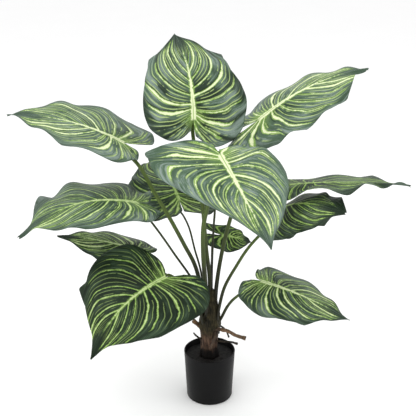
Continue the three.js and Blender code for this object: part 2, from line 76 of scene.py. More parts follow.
# base is the notch and tip the far end, and half the half width. Two numbers are for the
# left and right half. reach, skew, slim, notch and cleft change the outline. Each bump is
# a place from 0 at the notch to 1 at the tip, a height in shares of half, and a run. roll,
# fold and curl are in degrees. arch and sweep bend the midrib up and sideways. The stem
# has a radius, a root in the trunk and the places it passes via.
# stripe is the width of the cream stripes against the widest, shade how dark the leaf is,
# partly by its print and partly by painted shade on leaves low in the plant, from 0, the
# grey-green of the upper leaves with their painted sheen, to 1, deep how dark its darkest
# patches are, and plain how far from the notch its left half has no stripes.
USUAL = dict(skew=(0, 0), slim=(0, 0), notch=0, cleft=0, sweep=0, wave=(3, 3), plain=0)
LEAVES = [dict(USUAL, **leaf) for leaf in [
    dict(name="leaf_01_top", base=(-29, 14, 565), tip=(-65, 132, 696), half=(88, 98),
         reach=(0.85, 1.3), slim=(-0.3, -0.15), cleft=-0.02,
         bumps=([[0.556, -0.06, 0.14], [0.722, 0.05, 0.06]],
                [[0, -0.07, 0.12], [0.347, 0.1, 0.15], [0.611, -0.05, 0.07],
                 [0.75, 0.13, 0.06]]), roll=0, arch=14, sweep=6, fold=(6, 6), curl=(-18, -18),
         phase=0, radius=4.2, root=(0.5, -1.5, 178),
         via=[(0, 0, 258), (-6, 0, 314), (-15, 2, 425)], stripe=1.0, shade=0.2, deep=0.9,
         plain=0.24),
    dict(name="leaf_02_right_top", base=(90, 39, 558), tip=(291, 80, 643), half=(70, 60),
         reach=(0.65, 1.4), slim=(0, -0.6), cleft=-0.1,
         bumps=([[0.333, 0.42, 0.14], [0.611, 0.03, 0.06]],
                [[0, -0.1, 0.07], [0.333, 0.05, 0.05], [0.389, 0.15, 0.05],
                 [0.452, -0.11, 0.05], [0.5, 0.03, 0.04], [0.59, -0.04, 0.05],
                 [0.76, 0.11, 0.07], [0.9, -0.12, 0.07]]), roll=22, arch=20, fold=(-12, -8),
         curl=(-25, -25), wave=(4, 4), phase=0.28, radius=4.2, root=(10, -1, 178),
         via=[(13, 2, 236), (24, 4, 312), (40, 6, 382), (58, 18, 446)], stripe=0.95,
         shade=0.12, deep=0.35),
    dict(name="leaf_03_left_top", base=(-165, 20, 524), tip=(-357, -5, 578), half=(66, 98),
         reach=(0.85, 1.45), slim=(-0.4, 0.2), notch=-0.05,
         bumps=([[0.611, 0.06, 0.06]],
                [[0.333, 0.14, 0.08], [0.58, -0.05, 0.06], [0.87, -0.09, 0.08]]), roll=-17,
         arch=15, fold=(4, 0), curl=(-12, -12), wave=(4, 4), phase=0.0, radius=4.2,
         root=(-10.5, 1.5, 178),
         via=[(-14, 0, 222), (-28, -4, 286), (-46, -9, 327), (-70, -14, 379), (-99, -11, 432),
              (-126, -2, 480)], stripe=0.9, shade=0.15, deep=0.35),
    dict(name="leaf_04_left_middle", base=(-133, -40, 426), tip=(-333, -100, 382),
         half=(52, 84), reach=(0.75, 0.72), slim=(-0.6, -0.5), notch=-0.02,
         bumps=([[0.6, 0.08, 0.08], [0.88, -0.09, 0.1]],
                [[0.444, 0.05, 0.06], [0.8, 0.3, 0.08]]), roll=-14, arch=34, fold=(-2, -2),
         curl=(-18, -18), wave=(3, 6), phase=0.33, radius=2.4, root=(-13, -6, 178),
         via=[(-20, -10, 232), (-69, -15, 319), (-91, -18, 356), (-109, -16, 382)], stripe=0.6,
         shade=0.4, deep=0.35),
    dict(name="leaf_05_left_small", base=(-131, 34, 297), tip=(-290, 24, 333), half=(54, 50),
         reach=(0.7, 0.8),
         bumps=([[0.611, 0.06, 0.06]], [[0.444, 0.06, 0.06], [0.667, -0.04, 0.06]]), roll=-15,
         arch=8, fold=(-6, -6), curl=(-18, -18), wave=(2, 2), phase=0.4, radius=2.4,
         root=(-9.5, 10, 178), via=[(-42, 18, 218), (-78, 27, 246)], stripe=0.7, shade=0.8,
         deep=0.8),
    dict(name="leaf_06_left_low", base=(-80, -60, 288), tip=(-213, -140, 163), half=(100, 107),
         reach=(0.9, 0.35), slim=(0.2, 0), cleft=0.05,
         bumps=([[0.58, 0.07, 0.1], [0.84, -0.07, 0.12]],
                [[0.69, 0.16, 0.06], [0.87, -0.11, 0.14]]), roll=-45, arch=10, sweep=20,
         fold=(-4, -4), curl=(-14, -14), phase=0.45, radius=3.2, root=(-12, -13, 165),
         via=[(-30, -30, 226)], stripe=0.6, shade=1.05, deep=0.8),
    dict(name="leaf_07_front", base=(15, -60, 528), tip=(104, -145, 380), half=(96, 128),
         reach=(0.15, 0.65), skew=(0.3, -0.38), slim=(0, 0.78), notch=0.04, cleft=-0.06,
         bumps=([[0.35, -0.1, 0.1], [0.5, 0.05, 0.14]],
                [[0.31, 0.08, 0.05], [0.39, -0.06, 0.05]]), roll=36, arch=12, fold=(-8, -4),
         curl=(-25, -16), phase=0.7, radius=4.7, root=(-4, -11, 178),
         via=[(-9, -18, 266), (-12, -26, 325), (-11, -35, 379), (-3, -42, 424)], stripe=1.0,
         shade=0.02, deep=0.25),
    dict(name="leaf_08_right", base=(148, 0, 446), tip=(360, -30, 453), half=(56, 54),
         reach=(1, 1), slim=(-0.3, 0.8),
         bumps=([[0.444, -0.3, 0.17], [0.75, 0.2, 0.08]],
                [[0.444, -0.35, 0.1], [0.611, 0.28, 0.08], [0.833, -0.14, 0.06]]), roll=0,
         arch=6, fold=(-6, -4), curl=(0, -12), wave=(2, 7), phase=0.8, radius=2.4,
         root=(5.5, 7.5, 178),
         via=[(4, 7, 240), (9, 6, 380), (14, 6, 416), (45, 8, 446), (95, 6, 444)], stripe=0.35,
         shade=0.75, deep=0.3),
    dict(name="leaf_09_right_middle", base=(122, 20, 382), tip=(241, -62, 413), half=(62, 70),
         reach=(1, 0.6), skew=(0.15, 0.2), slim=(-0.6, -0.2),
         bumps=([[0.5, -0.3, 0.2], [0.89, 0.35, 0.13]],
                [[0.5, -0.04, 0.06], [0.58, -0.07, 0.06], [0.833, 0.12, 0.06]]), roll=35,
         arch=30, fold=(-22, 0), curl=(-20, -20), phase=0.1, radius=3.4,
         root=(14.5, -8.5, 170),
         via=[(19.5, -5, 202), (29, -4, 240), (50, -3, 282), (74, 2, 320)], stripe=0.4,
         shade=0.9, deep=0.5),
    dict(name="leaf_10_back_left", base=(-58, 44, 399), tip=(-116, 170, 441), half=(92, 86),
         reach=(1.15, 1.3), cleft=-0.09,
         bumps=([[0.5, 0.05, 0.06], [0.611, -0.05, 0.06]], [[0.556, 0.05, 0.06]]), roll=0,
         arch=14, fold=(0, 0), curl=(-14, -14), phase=0.6, radius=2.2, root=(-4, 8, 178),
         via=[(-18, 18, 268), (-28, 22, 305), (-39, 32, 347), (-49, 37, 368)], stripe=0.4,
         shade=0.75, deep=0.6),
    dict(name="leaf_11_centre_small", base=(26, 80, 311), tip=(84, 100, 287), half=(22, 32),
         reach=(3.2, 3.2), bumps=([], []), roll=50, arch=4, fold=(0, 0), curl=(0, -20),
         wave=(2, 2), phase=0.25, radius=2.2, root=(1, 13, 178),
         via=[(3, 24, 235), (4, 30, 275)], stripe=0.3, shade=1.0, deep=0.6),
    dict(name="leaf_12_right_low", base=(98, -20, 260), tip=(261, -60, 198), half=(60, 74),
         reach=(0.4, 0.8), slim=(-0.2, 0), cleft=-0.05,
         bumps=([[0.556, 0.05, 0.06]], [[0.5, -0.04, 0.06], [0.667, 0.06, 0.06]]), roll=14,
         arch=8, fold=(-4, -4), curl=(-18, -18), phase=0.5, radius=3.2, root=(18, 1, 158),
         via=[(25.5, -3, 178), (35.5, -6, 200.5), (48.6, -9, 218.4)], stripe=0.8, shade=0.6,
         deep=0.5),
]]

SOCKET_DEPTH = 22
SOCKET_LEAN = 0.94
STEM_NECK = 0.8  # thickness at the blade, as a share of the thickness at the trunk
NECK_DROP = 18
NECK_SETBACK = 8
WIRE_RADIUS = 1
WIRE_REACH = 0.42
WIRE_POINTS = (0.05, 0.2, WIRE_REACH)

POT_HEIGHT = 100
POT_TOP_RADIUS = 50
POT_BASE_RADIUS = 45
POT_WALL = 2
POT_FLOOR = 3
POT_CHAMFER = 2
FILLING_TOP = 88

TRUNK_BOTTOM = 45
TRUNK_TOP = 176
TRUNK_RIDGES = 7
TRUNK_RIDGE_HEIGHT = 0.06
TRUNK_TWIST = 0.9
TRUNK_PROFILE = [
    (15, TRUNK_BOTTOM), (15.5, 80), (18.5, 90), (16.5, 104), (16.5, 124), (18.5, 142),
    (21.5, 156), (20.5, 167), (18.5, TRUNK_TOP - 2), (15, TRUNK_TOP),
]
# The sheath of old leaf bases that the stems rise from: its radius and height.
SHEATH = [(20.8, TRUNK_TOP - 16), (19.5, 170), (17.6, 180), (15.2, 190), (13, 201), (11, 212),
          (8.5, 222), (5, 231), (1, 236)]
SHEATH_LEAN = 4  # how far its top stands to the right

ROOTS = [
    dict(name="root_right", tint="root_brown", radii=(3.4, 3.6, 3.2, 4),
         points=[(12, -15, 155), (23, -16, 153.5), (36, -16, 150), (51, -20, 143),
                 (70, -24, 139)]),
    dict(name="root_left", tint="root_tan", radii=(4, 4, 4.4),
         points=[(-13, -2, 146), (-22, -3, 157), (-31, -6, 167)]),
    # the front root's darker bark is painted shade
    dict(name="root_front", tint="root_shaded", radii=(3, 3, 2.8, 2.2),
         points=[(6, -8, 152), (13, -18, 146), (7, -24, 132), (2, -27, 119)]),
    dict(name="twig_left", tint="twig_dark", radii=(1.8, 1.8, 1.5),
         points=[(-8, -4, 124), (-22, -10, 133), (-31, -14, 145)]),
    dict(name="twig_right", tint="twig_dark", radii=(1.9, 1.9, 1.6),
         points=[(10, 12, 152), (26, 6, 146), (34, 4, 137), (38, 2, 126)]),
    dict(name="twig_rim", tint="twig_dark", radii=(1.8, 1.8, 1.6, 2.6),
         points=[(8, -6, 124), (24, -14, 126), (40, -20, 129), (54, -26, 128)]),
]

# ---------- small helpers


def lerp(a, b, share):
    return a + (b - a) * share


def clamp01(value):
    return min(max(value, 0.0), 1.0)


def smoothstep(low, high, value):
    share = clamp01((value - low) / (high - low))
    return share * share * (3 - 2 * share)


SAME_PLACE = 1e-4


class Track:
    """A smooth curve through points, measured along its length."""

    PIECES = 24  # straight pieces between two given points

    def __init__(self, points):
        points = [Vector(p).to_3d() for p in points]
        ends = [2 * points[0] - points[1], 2 * points[-1] - points[-2]]
        padded = [ends[0], *points, ends[1]]
        self.places = []
        for i in range(len(points) - 1):
            for k in range(self.PIECES):
                self.places.append(self.between(padded[i:i + 4], k / self.PIECES))
        self.places.append(points[-1])
        self.lengths = [0.0]
        for a, b in zip(self.places, self.places[1:]):
            self.lengths.append(self.lengths[-1] + (b - a).length)
        self.length = self.lengths[-1]

    @staticmethod
    def between(four, share):
        """A centripetal Catmull-Rom curve from the second point to the third."""
        before, start, end, after = four
        gaps = [max((b - a).length ** 0.5, SAME_PLACE) for a, b in zip(four, four[1:])]
        leave = (start - before) / gaps[0] - (end - before) / (gaps[0] + gaps[1])
        leave = (leave + (end - start) / gaps[1]) * gaps[1]
        arrive = (end - start) / gaps[1] - (after - start) / (gaps[1] + gaps[2])
        arrive = (arrive + (after - end) / gaps[2]) * gaps[1]
        square = -3 * start + 3 * end - 2 * leave - arrive
        cube = 2 * start - 2 * end + leave + arrive
        return start + share * (leave + share * (square + share * cube))

    def at(self, share):
        """The point at a share of the whole length."""
        target = clamp01(share) * self.length
        low, high = 0, len(self.lengths) - 1
        while high - low > 1:
            middle = (low + high) // 2
            if self.lengths[middle] <= target:
                low = middle
            else:
                high = middle
        step = self.lengths[high] - self.lengths[low]
        return self.places[low].lerp(self.places[high], (target - self.lengths[low]) / step)


def placed(name, bm, materials):
    """A finished mesh as an object in the scene."""
    mesh = bpy.data.meshes.new(name)
    bm.to_mesh(mesh)
    bm.free()
    for material in materials:
        mesh.materials.append(material)
    made = bpy.data.objects.new(name, mesh)
    bpy.context.scene.collection.objects.link(made)
    return made


def piece(name, bm, materials, node):
    """A smooth piece that rides on the plant and stands for a CAD node."""
    made = placed(name, bm, materials)
    made.data.shade_smooth()
    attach(made, BODY)
    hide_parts(node)
    return made


def tube(track, rings, sides, radius_at, section=None):
    """A closed tube along a track, with the UV map "along": round it and along it."""
    bm = bmesh.new()
    uv = bm.loops.layers.uv.new("along")
    first = track.at(0)
    heading = (track.at(1 / rings) - first).normalized()
    across = heading.orthogonal().normalized()
    start = Matrix((across, heading.cross(across), heading)).transposed()
    circle = bmesh.ops.create_circle(bm, segments=sides, radius=1, cap_ends=True)["verts"]
    bmesh.ops.transform(bm, matrix=start.to_4x4(), verts=circle)
    unit = [v.co.copy() for v in circle]
    place = {}
    edges = list(bm.edges)
    ring = circle
    for k in range(rings + 1):
        share = k / rings
        centre = track.at(share)
        if k:
            after, before = min(share + 0.5 / rings, 1), share - 0.5 / rings
            ahead = (track.at(after) - track.at(before)).normalized()
            turn = heading.rotation_difference(ahead)
            unit = [turn @ u for u in unit]
            heading = ahead
            new = bmesh.ops.extrude_edge_only(bm, edges=edges)["geom"]
            fresh = [g for g in new if isinstance(g, bmesh.types.BMVert)]
            above = {next(e.other_vert(v) for e in v.link_edges if e.other_vert(v) in ring): v
                     for v in fresh}
            ring = [above[v] for v in ring]
            edges = [g for g in new if isinstance(g, bmesh.types.BMEdge) and
                     all(v in fresh for v in g.verts)]
        for i, v in enumerate(ring):
            radius = radius_at(share)
            if section:
                radius *= section(i / sides, share)
            v.co = centre + unit[i] * radius
            place[v] = (i / sides, share)
    bmesh.ops.contextual_create(bm, geom=edges)
    bmesh.ops.recalc_face_normals(bm, faces=bm.faces)
    for face in bm.faces:
        around = [place[loop.vert][0] for loop in face.loops]
        for loop in face.loops:
            u, v = place[loop.vert]
            wraps = len(face.verts) == 4 and max(around) - min(around) > 0.5 and u < 0.5
            loop[uv].uv = (u + 1 if wraps else u, v)
    return bm


def turned(profile, steps):
    """A profile of (radius, height) points spun round the Z axis into a closed solid."""
    bm = bmesh.new()
    points = [bm.verts.new((r * MM, 0, z * MM)) for r, z in profile]
    edges = [bm.edges.new(pair) for pair in zip(points, points[1:])]
    bmesh.ops.spin(bm, geom=points + edges, cent=(0, 0, 0), axis=(0, 0, 1),
                   angle=2 * math.pi, steps=steps, use_merge=True)
    bmesh.ops.remove_doubles(bm, verts=bm.verts, dist=NEARLY_ZERO)
    bmesh.ops.recalc_face_normals(bm, faces=bm.faces)
    return bm


# ---------- materials


def srgb(red, green, blue):
    """A colour given as screen values from 0 to 255."""
    def linear(value):
        value /= 255
        return value / 12.92 if value <= 0.04045 else ((value + 0.055) / 1.055) ** 2.4
    return (linear(red), linear(green), linear(blue), 1.0)


NOISE_RANGE = (0.3, 0.7)  # most values of a noise lie between these


class Finish:
    """A material and short ways to add its nodes. A value may be a number or a socket."""

    def __init__(self, name):
        self.material = bpy.data.materials.new(name)
        self.material.use_nodes = True
        self.tree = self.material.node_tree
        self.shader = self.tree.nodes["Principled BSDF"]

    def put(self, socket, value):
        if isinstance(value, bpy.types.NodeSocket):
            self.tree.links.new(value, socket)
        else:
            socket.default_value = value

    def node(self, kind, **settings):
        made = self.tree.nodes.new(kind)
        for key, value in settings.items():
            setattr(made, key, value)
        return made

    def math(self, operation, *values, clamp=False):
        made = self.node("ShaderNodeMath", operation=operation, use_clamp=clamp)
        for socket, value in zip(made.inputs, values):
            self.put(socket, value)
        return made.outputs[0]

    def add(self, a, b):
        return self.math("ADD", a, b)

    def sub(self, a, b):
        return self.math("SUBTRACT", a, b)

    def mul(self, a, b):
        return self.math("MULTIPLY", a, b)

    def ramp(self, value, low, high, start=0.0, end=1.0):
        """Runs smoothly from start to end as value goes from low to high."""
        made = self.node("ShaderNodeMapRange", interpolation_type="SMOOTHSTEP")
        for key, number in (("Value", value), ("From Min", low), ("From Max", high),
                            ("To Min", start), ("To Max", end)):
            self.put(made.inputs[key], number)
        return made.outputs["Result"]

    def fall(self, value, low, high):
        """Runs from 1 down to 0 as value goes from low to high."""
        return self.ramp(value, low, high, 1.0, 0.0)

    def through_noise(self, noise, start, end):
        """Runs from start to end through the values that a noise mostly has."""
        return self.ramp(noise, *NOISE_RANGE, start, end)

    def mix(self, share, a, b):
        made = self.node("ShaderNodeMix", data_type="RGBA")
        self.put(made.inputs["Factor"], share)
        self.put(made.inputs["A"], a)
        self.put(made.inputs["B"], b)
        return made.outputs["Result"]

    def vector(self, x, y, z=0.0):
        made = self.node("ShaderNodeCombineXYZ")
        for socket, value in zip(made.inputs, (x, y, z)):
            self.put(socket, value)
        return made.outputs[0]

    def split(self, vector):
        made = self.node("ShaderNodeSeparateXYZ")
        self.put(made.inputs[0], vector)
        return made.outputs

    def uv(self, name):
        return self.node("ShaderNodeUVMap", uv_map=name).outputs["UV"]

    def place(self):
        return self.node("ShaderNodeTexCoord").outputs["Object"]

    def noise(self, vector, scale, detail=2.0, roughness=0.5):
        made = self.node("ShaderNodeTexNoise")
        self.put(made.inputs["Vector"], vector)
        made.inputs["Scale"].default_value = scale
        made.inputs["Detail"].default_value = detail
        made.inputs["Roughness"].default_value = roughness
        return made.outputs["Fac"]

    def chance(self, value, salt):
        """A random number for each whole value."""
        made = self.node("ShaderNodeTexWhiteNoise", noise_dimensions="2D")
        self.put(made.inputs["Vector"], self.vector(value, salt))
        return made.outputs["Value"]

    def bump(self, height, depth, below=None):
        made = self.node("ShaderNodeBump")
        made.inputs["Strength"].default_value = 1.0
        made.inputs["Distance"].default_value = depth
        self.put(made.inputs["Height"], height)
        if below:
            self.put(made.inputs["Normal"], below)
        return made.outputs["Normal"]

    def finish(self, color, roughness, normal=None, **constants):
        self.put(self.shader.inputs["Base Color"], color)
        self.put(self.shader.inputs["Roughness"], roughness)
        if normal:
            self.put(self.shader.inputs["Normal"], normal)
        for key, value in constants.items():
            self.shader.inputs[key.replace("_", " ")].default_value = value
        return self.material


# ---------- the leaves' print, with its painted sheen and painted shade

STRIPES = 13.0  # main stripes to each unit of line
FINE = 3  # thin stripes to each main one
# A stripe leaves the midrib aslant, runs out, and then along the margin towards the tip.
# Its number, line, is the share s where it leaves the midrib.
BEND_START = 0.02  # how fast stripes bend towards the tip at the notch
BEND_GROWTH = 0.3  # and how much faster further on
SLANT = 0.9  # how aslant they leave the midrib
SLANT_POWER = 0.7
HOOK = 0.4  # how strongly they turn along the margin
CROWDING = 0.75  # how close together they come there
LAST_LINE = 0.7  # beyond this one the midrib sends out no stripe
WANDER = 0.07  # how far a line strays, in units of line
TIP_FADE = (0.82, 0.97)  # veins between which all stripes fade out

# The main stripes.
FIRST_STRIPE = 0.2  # where in the count of lines stripes begin
STRIPE_HALF_WIDTHS = mm(0.5, 1.8)
STRIPE_SHARE = 0.3  # the most it takes of the distance to the next
STRIPE_STOPS = 0.9  # the share of the way out where it stops, or a little further
CREAM_EDGE = mm(-0.6, 0.1)  # cream ends softly round the stripe's edge
RIM_WIDTHS = mm(1.8, 1.1)  # the lime rim at the midrib and further out
TRENCH = mm(0.8, 4.5)  # the dark ground beside a stripe

# Half widths in millimetres: the least, and what a full stripe width adds.
THIN_HALF_WIDTHS = (0.3, 0.3)
BAND_WIDTHS = (1.2, 4.2)
RIB_LINE = mm(0.5, 1.3)  # the green line in the band's middle
BURST = (0.02, 0.2)  # lime round the notch, in shares of the length

# The ground's three tones, dark, middle and a grey that is a painted satin sheen, on a leaf in
# the light, and on one low in the plant, darker partly by its print and partly by painted
# shade.
LIT_GROUND = (srgb(34, 60, 38), srgb(82, 106, 84), srgb(132, 148, 140))
LOW_GROUND = (srgb(8, 22, 8), srgb(30, 48, 28), srgb(64, 82, 64))
DEEP_GREEN = srgb(8, 27, 9)
LIME = srgb(130, 166, 76)
PALE_LIME = srgb(192, 211, 140)
CREAM = srgb(226, 233, 190)
UNDERSIDE = srgb(96, 114, 100)
STREAKS = 90.0  # streaks of the ground to each unit of line
PATCHES = 16.0
DARK_ENDS = (0.4, 0.47)  # tones between which dark turns to middle
PAINTED_SHEEN_STARTS = (0.5, 0.59)  # and middle to the grey of a painted satin sheen
# Depths in millimetres of the fabric's grain, and of its streaks and stripes.
WEAVE, PRINT_RELIEF = 0.12, 0.5


def between(a, b, share):
    return [lerp(x, y, share) for x, y in zip(a, b)]


class LeafPrintAndPaintedLight(Finish):
    """Printed fabric: cream and lime stripes along the veins on dark green, with a painted grey
    satin sheen, and painted shade on leaves low in the plant. Each place has its vein, counted
    from notch to tip, its share t of the way to the margin, its distance from the notch and its
    spread, the distance from the midrib."""

    def __init__(self, leaf, number, underside):
        super().__init__(leaf["name"] + ("_underside" if underside else "_face"))
        self.stripe, self.shade, self.deep = leaf["stripe"], leaf["shade"], leaf["deep"]
        self.length = (Vector(leaf["tip"]) - Vector(leaf["base"])).length * MM
        around, self.vein, _ = self.split(self.uv("veins"))
        self.flat = self.uv("flat")
        along, across, _ = self.split(self.flat)
        self.side = self.math("SIGN", self.sub(around, 0.5))
        self.t = self.math("ABSOLUTE", self.sub(self.mul(around, 2.0), 1.0))
        self.spread = self.math("ABSOLUTE", across)
        self.from_notch = self.sub(along, leaf["notch"] * self.length)
        self.salt = self.add(self.mul(self.side, 3.5), number * 1.7)
        self.ragged = self.sub(self.noise(self.flat, 560.0, 2.0, 0.7), 0.5)
        self.coarse = self.sub(self.noise(self.flat, 150.0, 2.0), 0.5)
        self.tip_fade = self.fall(self.vein, *TIP_FADE)
        self.line, self.density = self.lines()
        self.paint(leaf, number, underside)

    def veined(self, out, place, apart, detail, roughness=0.5):
        """Noise along the veins: out is how fast it changes towards the margin, and apart
        how fast from one place to the next."""
        where = self.vector(self.mul(self.t, out), self.mul(place, apart), self.salt)
        return self.noise(where, 1.0, detail, roughness)

    def rough(self, fine, coarse):
        """How far an edge strays, in metres, from millimetres of each of two noises."""
        return self.add(self.mul(self.ragged, fine * MM), self.mul(self.coarse, coarse * MM))

    def lines(self):
        """The line at a place, which wanders a little, and how many lines there are to a
        metre, square to them."""
        room = self.sub(1.0, self.mul(self.t, CROWDING))
        slant = self.mul(self.math("POWER", self.t, SLANT_POWER), SLANT)
        hook = self.mul(self.math("LOGARITHM", room, math.e), -HOOK)
        outward = self.add(slant, hook)
        bend = self.add(self.mul(self.vein, BEND_GROWTH), BEND_START)
        drift = self.sub(self.veined(2.4, self.vein, 4.5, 1.0), 0.5)
        wander = self.mul(self.mul(drift, WANDER), self.t)
        line = self.add(self.sub(self.vein, self.mul(bend, outward)), wander)

        vein = self.math("MAXIMUM", self.vein, 0.06)
        pace = self.math("POWER", vein, VEIN_START_POWER - 1)
        ahead = self.sub(1.0, self.mul(outward, BEND_GROWTH))
        pace = self.mul(pace, VEIN_START_POWER * self.length)
        lengthwise = self.math("DIVIDE", ahead, pace)
        turning = self.math("DIVIDE", self.mul(self.t, HOOK * CROWDING), room)
        steep = self.mul(bend, self.add(self.mul(slant, SLANT_POWER), turning))
        spread = self.math("MAXIMUM", self.spread, 2.0 * MM)
        sideways = self.math("DIVIDE", steep, spread)
        squares = self.add(self.mul(lengthwise, lengthwise), self.mul(sideways, sideways))
        return line, self.math("SQRT", squares)

    def stripes(self, count, offset):
        """The stripe's number, the place across it, and the distance between stripes."""
        step = self.add(self.mul(self.line, count), offset)
        cell = self.math("FLOOR", step)
        gap = self.math("DIVIDE", 1.0 / count, self.density)
        return cell, self.sub(self.sub(step, cell), 0.5), gap

    def main_stripes(self, number, plain):
        """Where the cream core, the lime rim and the dark ground beside the main stripes
        are. Below the line plain the left half has none."""
        cell, away, gap = self.stripes(STRIPES, FIRST_STRIPE + 0.37 * (number % 3))
        luck = self.chance(cell, self.salt)
        other_luck = self.chance(cell, self.add(self.salt, 40.0))
        off_centre = self.mul(self.sub(other_luck, 0.5), 0.35)
        beside = self.mul(self.add(away, off_centre), gap)
        lumps = self.veined(5.0, cell, 5.1, 2.0)
        swell = self.mul(self.through_noise(lumps, 0.65, 1.25),
                         self.ramp(self.t, 0.1, 0.6, 0.8, 1.1))
        stop = self.add(STRIPE_STOPS, self.mul(other_luck, 0.12))
        last = self.fall(self.line, LAST_LINE - 0.04, LAST_LINE + 0.04)
        begun = self.mul(self.tip_fade, last)
        fade = self.mul(self.sub(1.0, self.ramp(self.t, 0.68, stop)), begun)
        # On leaf 1 the left lobe near the notch is left without stripes: a painted sheen, the
        # glossy grey of that curled lobe.
        if plain:
            left = self.math("LESS_THAN", self.side, 0.0)
            painted_sheen_patch = self.mul(left, self.fall(self.line, plain - 0.02, plain + 0.02))
            fade = self.mul(fade, self.sub(1.0, painted_sheen_patch))
        thin, thick = (width * self.stripe for width in STRIPE_HALF_WIDTHS)
        wide = self.mul(self.mul(self.ramp(luck, 0.1, 1.0, thin, thick), swell), fade)
        half_width = self.math("MINIMUM", wide, self.mul(gap, STRIPE_SHARE))
        strayed = self.add(self.math("ABSOLUTE", beside), self.rough(2.0, 1.8))
        edge = self.sub(strayed, half_width)
        alive = self.mul(self.ramp(fade, 0.02, 0.25), self.ramp(gap, *mm(1.5, 4.0)))
        core = self.mul(self.fall(edge, *CREAM_EDGE), alive)
        rim_share = 0.5 + 0.5 * self.stripe
        rim_width = self.ramp(self.t, 0.0, 0.4, *(w * rim_share for w in RIM_WIDTHS))
        rim = self.mul(self.fall(edge, CREAM_EDGE[1], rim_width), alive)
        past = self.sub(beside, half_width)
        trench = self.mul(self.fall(past, *TRENCH), self.ramp(past, -3.0 * MM, 0.0))
        return core, rim, trench

    def thin_stripes(self):
        """Where the thin broken stripes are."""
        cell, away, gap = self.stripes(STRIPES * FINE, 0.4)
        luck = self.chance(cell, self.add(self.salt, 80.0))
        dash = self.veined(6.0, cell, 7.3, 3.0)
        dash_on = self.ramp(self.add(dash, self.mul(luck, 0.25)), 0.52, 0.6)
        span = self.mul(self.ramp(self.t, 0.05, 0.2), self.fall(self.t, 0.8, 0.98))
        room = self.mul(self.ramp(gap, *mm(1.0, 2.6)), self.tip_fade)
        beside = self.mul(self.math("ABSOLUTE", away), gap)
        edge = self.add(beside, self.mul(self.ragged, 1.1 * MM))
        least, more = THIN_HALF_WIDTHS
        half = self.math("MINIMUM", self.mul(gap, 0.2), (least + more * self.stripe) * MM)
        line = self.fall(self.sub(edge, half), *mm(-0.3, 0.3))
        return self.mul(self.mul(line, dash_on), self.mul(span, room))

    def midrib(self):
        """Where the midrib's pale band, its lime rim, the green line in its middle and the
        lime round the notch are."""
        reach = self.math("DIVIDE", self.from_notch, self.length)
        left_over = self.math("SUBTRACT", 1.0, self.mul(reach, 1.15), clamp=True)
        least, more = BAND_WIDTHS
        width = self.mul(self.math("POWER", left_over, 1.3), (least + more * self.stripe) * MM)
        edge = self.sub(self.add(self.spread, self.rough(4.5, 6.0)), width)
        past_notch = self.ramp(self.from_notch, *mm(-4.0, 1.0))
        on_blade = self.mul(self.ramp(width, *mm(0.1, 0.7)), past_notch)
        band = self.mul(self.fall(edge, *mm(-1.0, 0.1)), on_blade)
        rim = self.mul(self.fall(edge, *mm(0.1, 2.6)), on_blade)
        from_middle = self.add(self.spread, self.mul(self.ragged, 0.5 * MM))
        line = self.fall(from_middle, *RIB_LINE)
        rib = self.mul(self.mul(line, self.ramp(reach, 0.1, 0.3, 0.7, 0.0)), past_notch)
        centre = self.add(self.math("ABSOLUTE", self.from_notch), self.spread)
        burst = self.fall(centre, *(share * self.length for share in BURST))
        return band, rim, rib, self.mul(burst, 0.5 * self.stripe)

    def ground(self, streak):
        """Dark streaks and streaks of a painted grey satin sheen that follow the veins, with
        wide darker patches, darker near the midrib, and the darkest of its greens."""
        broad = self.veined(2.0, self.line, PATCHES, 2.0)
        cloud = self.noise(self.flat, 16.0, 2.0)
        wide = self.add(self.mul(broad, 0.2), self.mul(cloud, 0.15))
        tone = self.add(self.mul(streak, 0.65), wide)
        inner = self.mul(self.fall(self.t, 0.35, 0.8),
                         self.ramp(self.vein, 0.25, 0.8, 1.0, 0.3))
        inner = self.sub(inner, 0.45)
        tone = self.sub(tone, self.mul(inner, 0.07))
        patch = self.add(self.mul(broad, 0.6), self.mul(cloud, 0.4))
        patch = self.sub(patch, self.mul(inner, 0.06))
        # shade moves the tones from the lit leaf's towards the low one's: partly print, partly
        # painted shade
        dark, middle, painted_sheen = (between(a, b, self.shade)
                               for a, b in zip(LIT_GROUND, LOW_GROUND))
        darkest = between(dark, DEEP_GREEN, self.deep)
        color = self.mix(self.ramp(tone, *DARK_ENDS), dark, middle)
        # the grey tone is a painted satin sheen, light glancing off the fabric
        color = self.mix(self.ramp(tone, *PAINTED_SHEEN_STARTS), color, painted_sheen)
        patchy = self.ramp(self.vein, 0.5, 0.75, 0.85 * self.deep, 0.2 * self.deep)
        shown = self.mul(self.ramp(patch, 0.54, 0.44), patchy)
        return self.mix(shown, color, darkest), darkest

    def paint(self, leaf, number, underside):
        stripe, shade, deep = self.stripe, self.shade, self.deep
        core, rim, trench = self.main_stripes(number, leaf["plain"])
        band, band_rim, rib, burst = self.midrib()
        streak = self.veined(3.0, self.line, STREAKS, 5.0, 0.8)
        color, darkest = self.ground(streak)
        color = self.mix(self.mul(trench, 0.35 + 0.5 * deep), color, darkest)
        thin = between(LIME, PALE_LIME, 0.7 * stripe)
        # on low leaves the fine lines fade: partly painted shade
        color = self.mix(self.mul(self.thin_stripes(), 0.8 - 0.35 * shade), color, thin)
        color = self.mix(self.math("MAXIMUM", rim, self.mul(band_rim, 0.7)), color, LIME)
        color = self.mix(burst, color, LIME)
        pale = between(PALE_LIME, CREAM, smoothstep(0.35, 0.9, stripe))
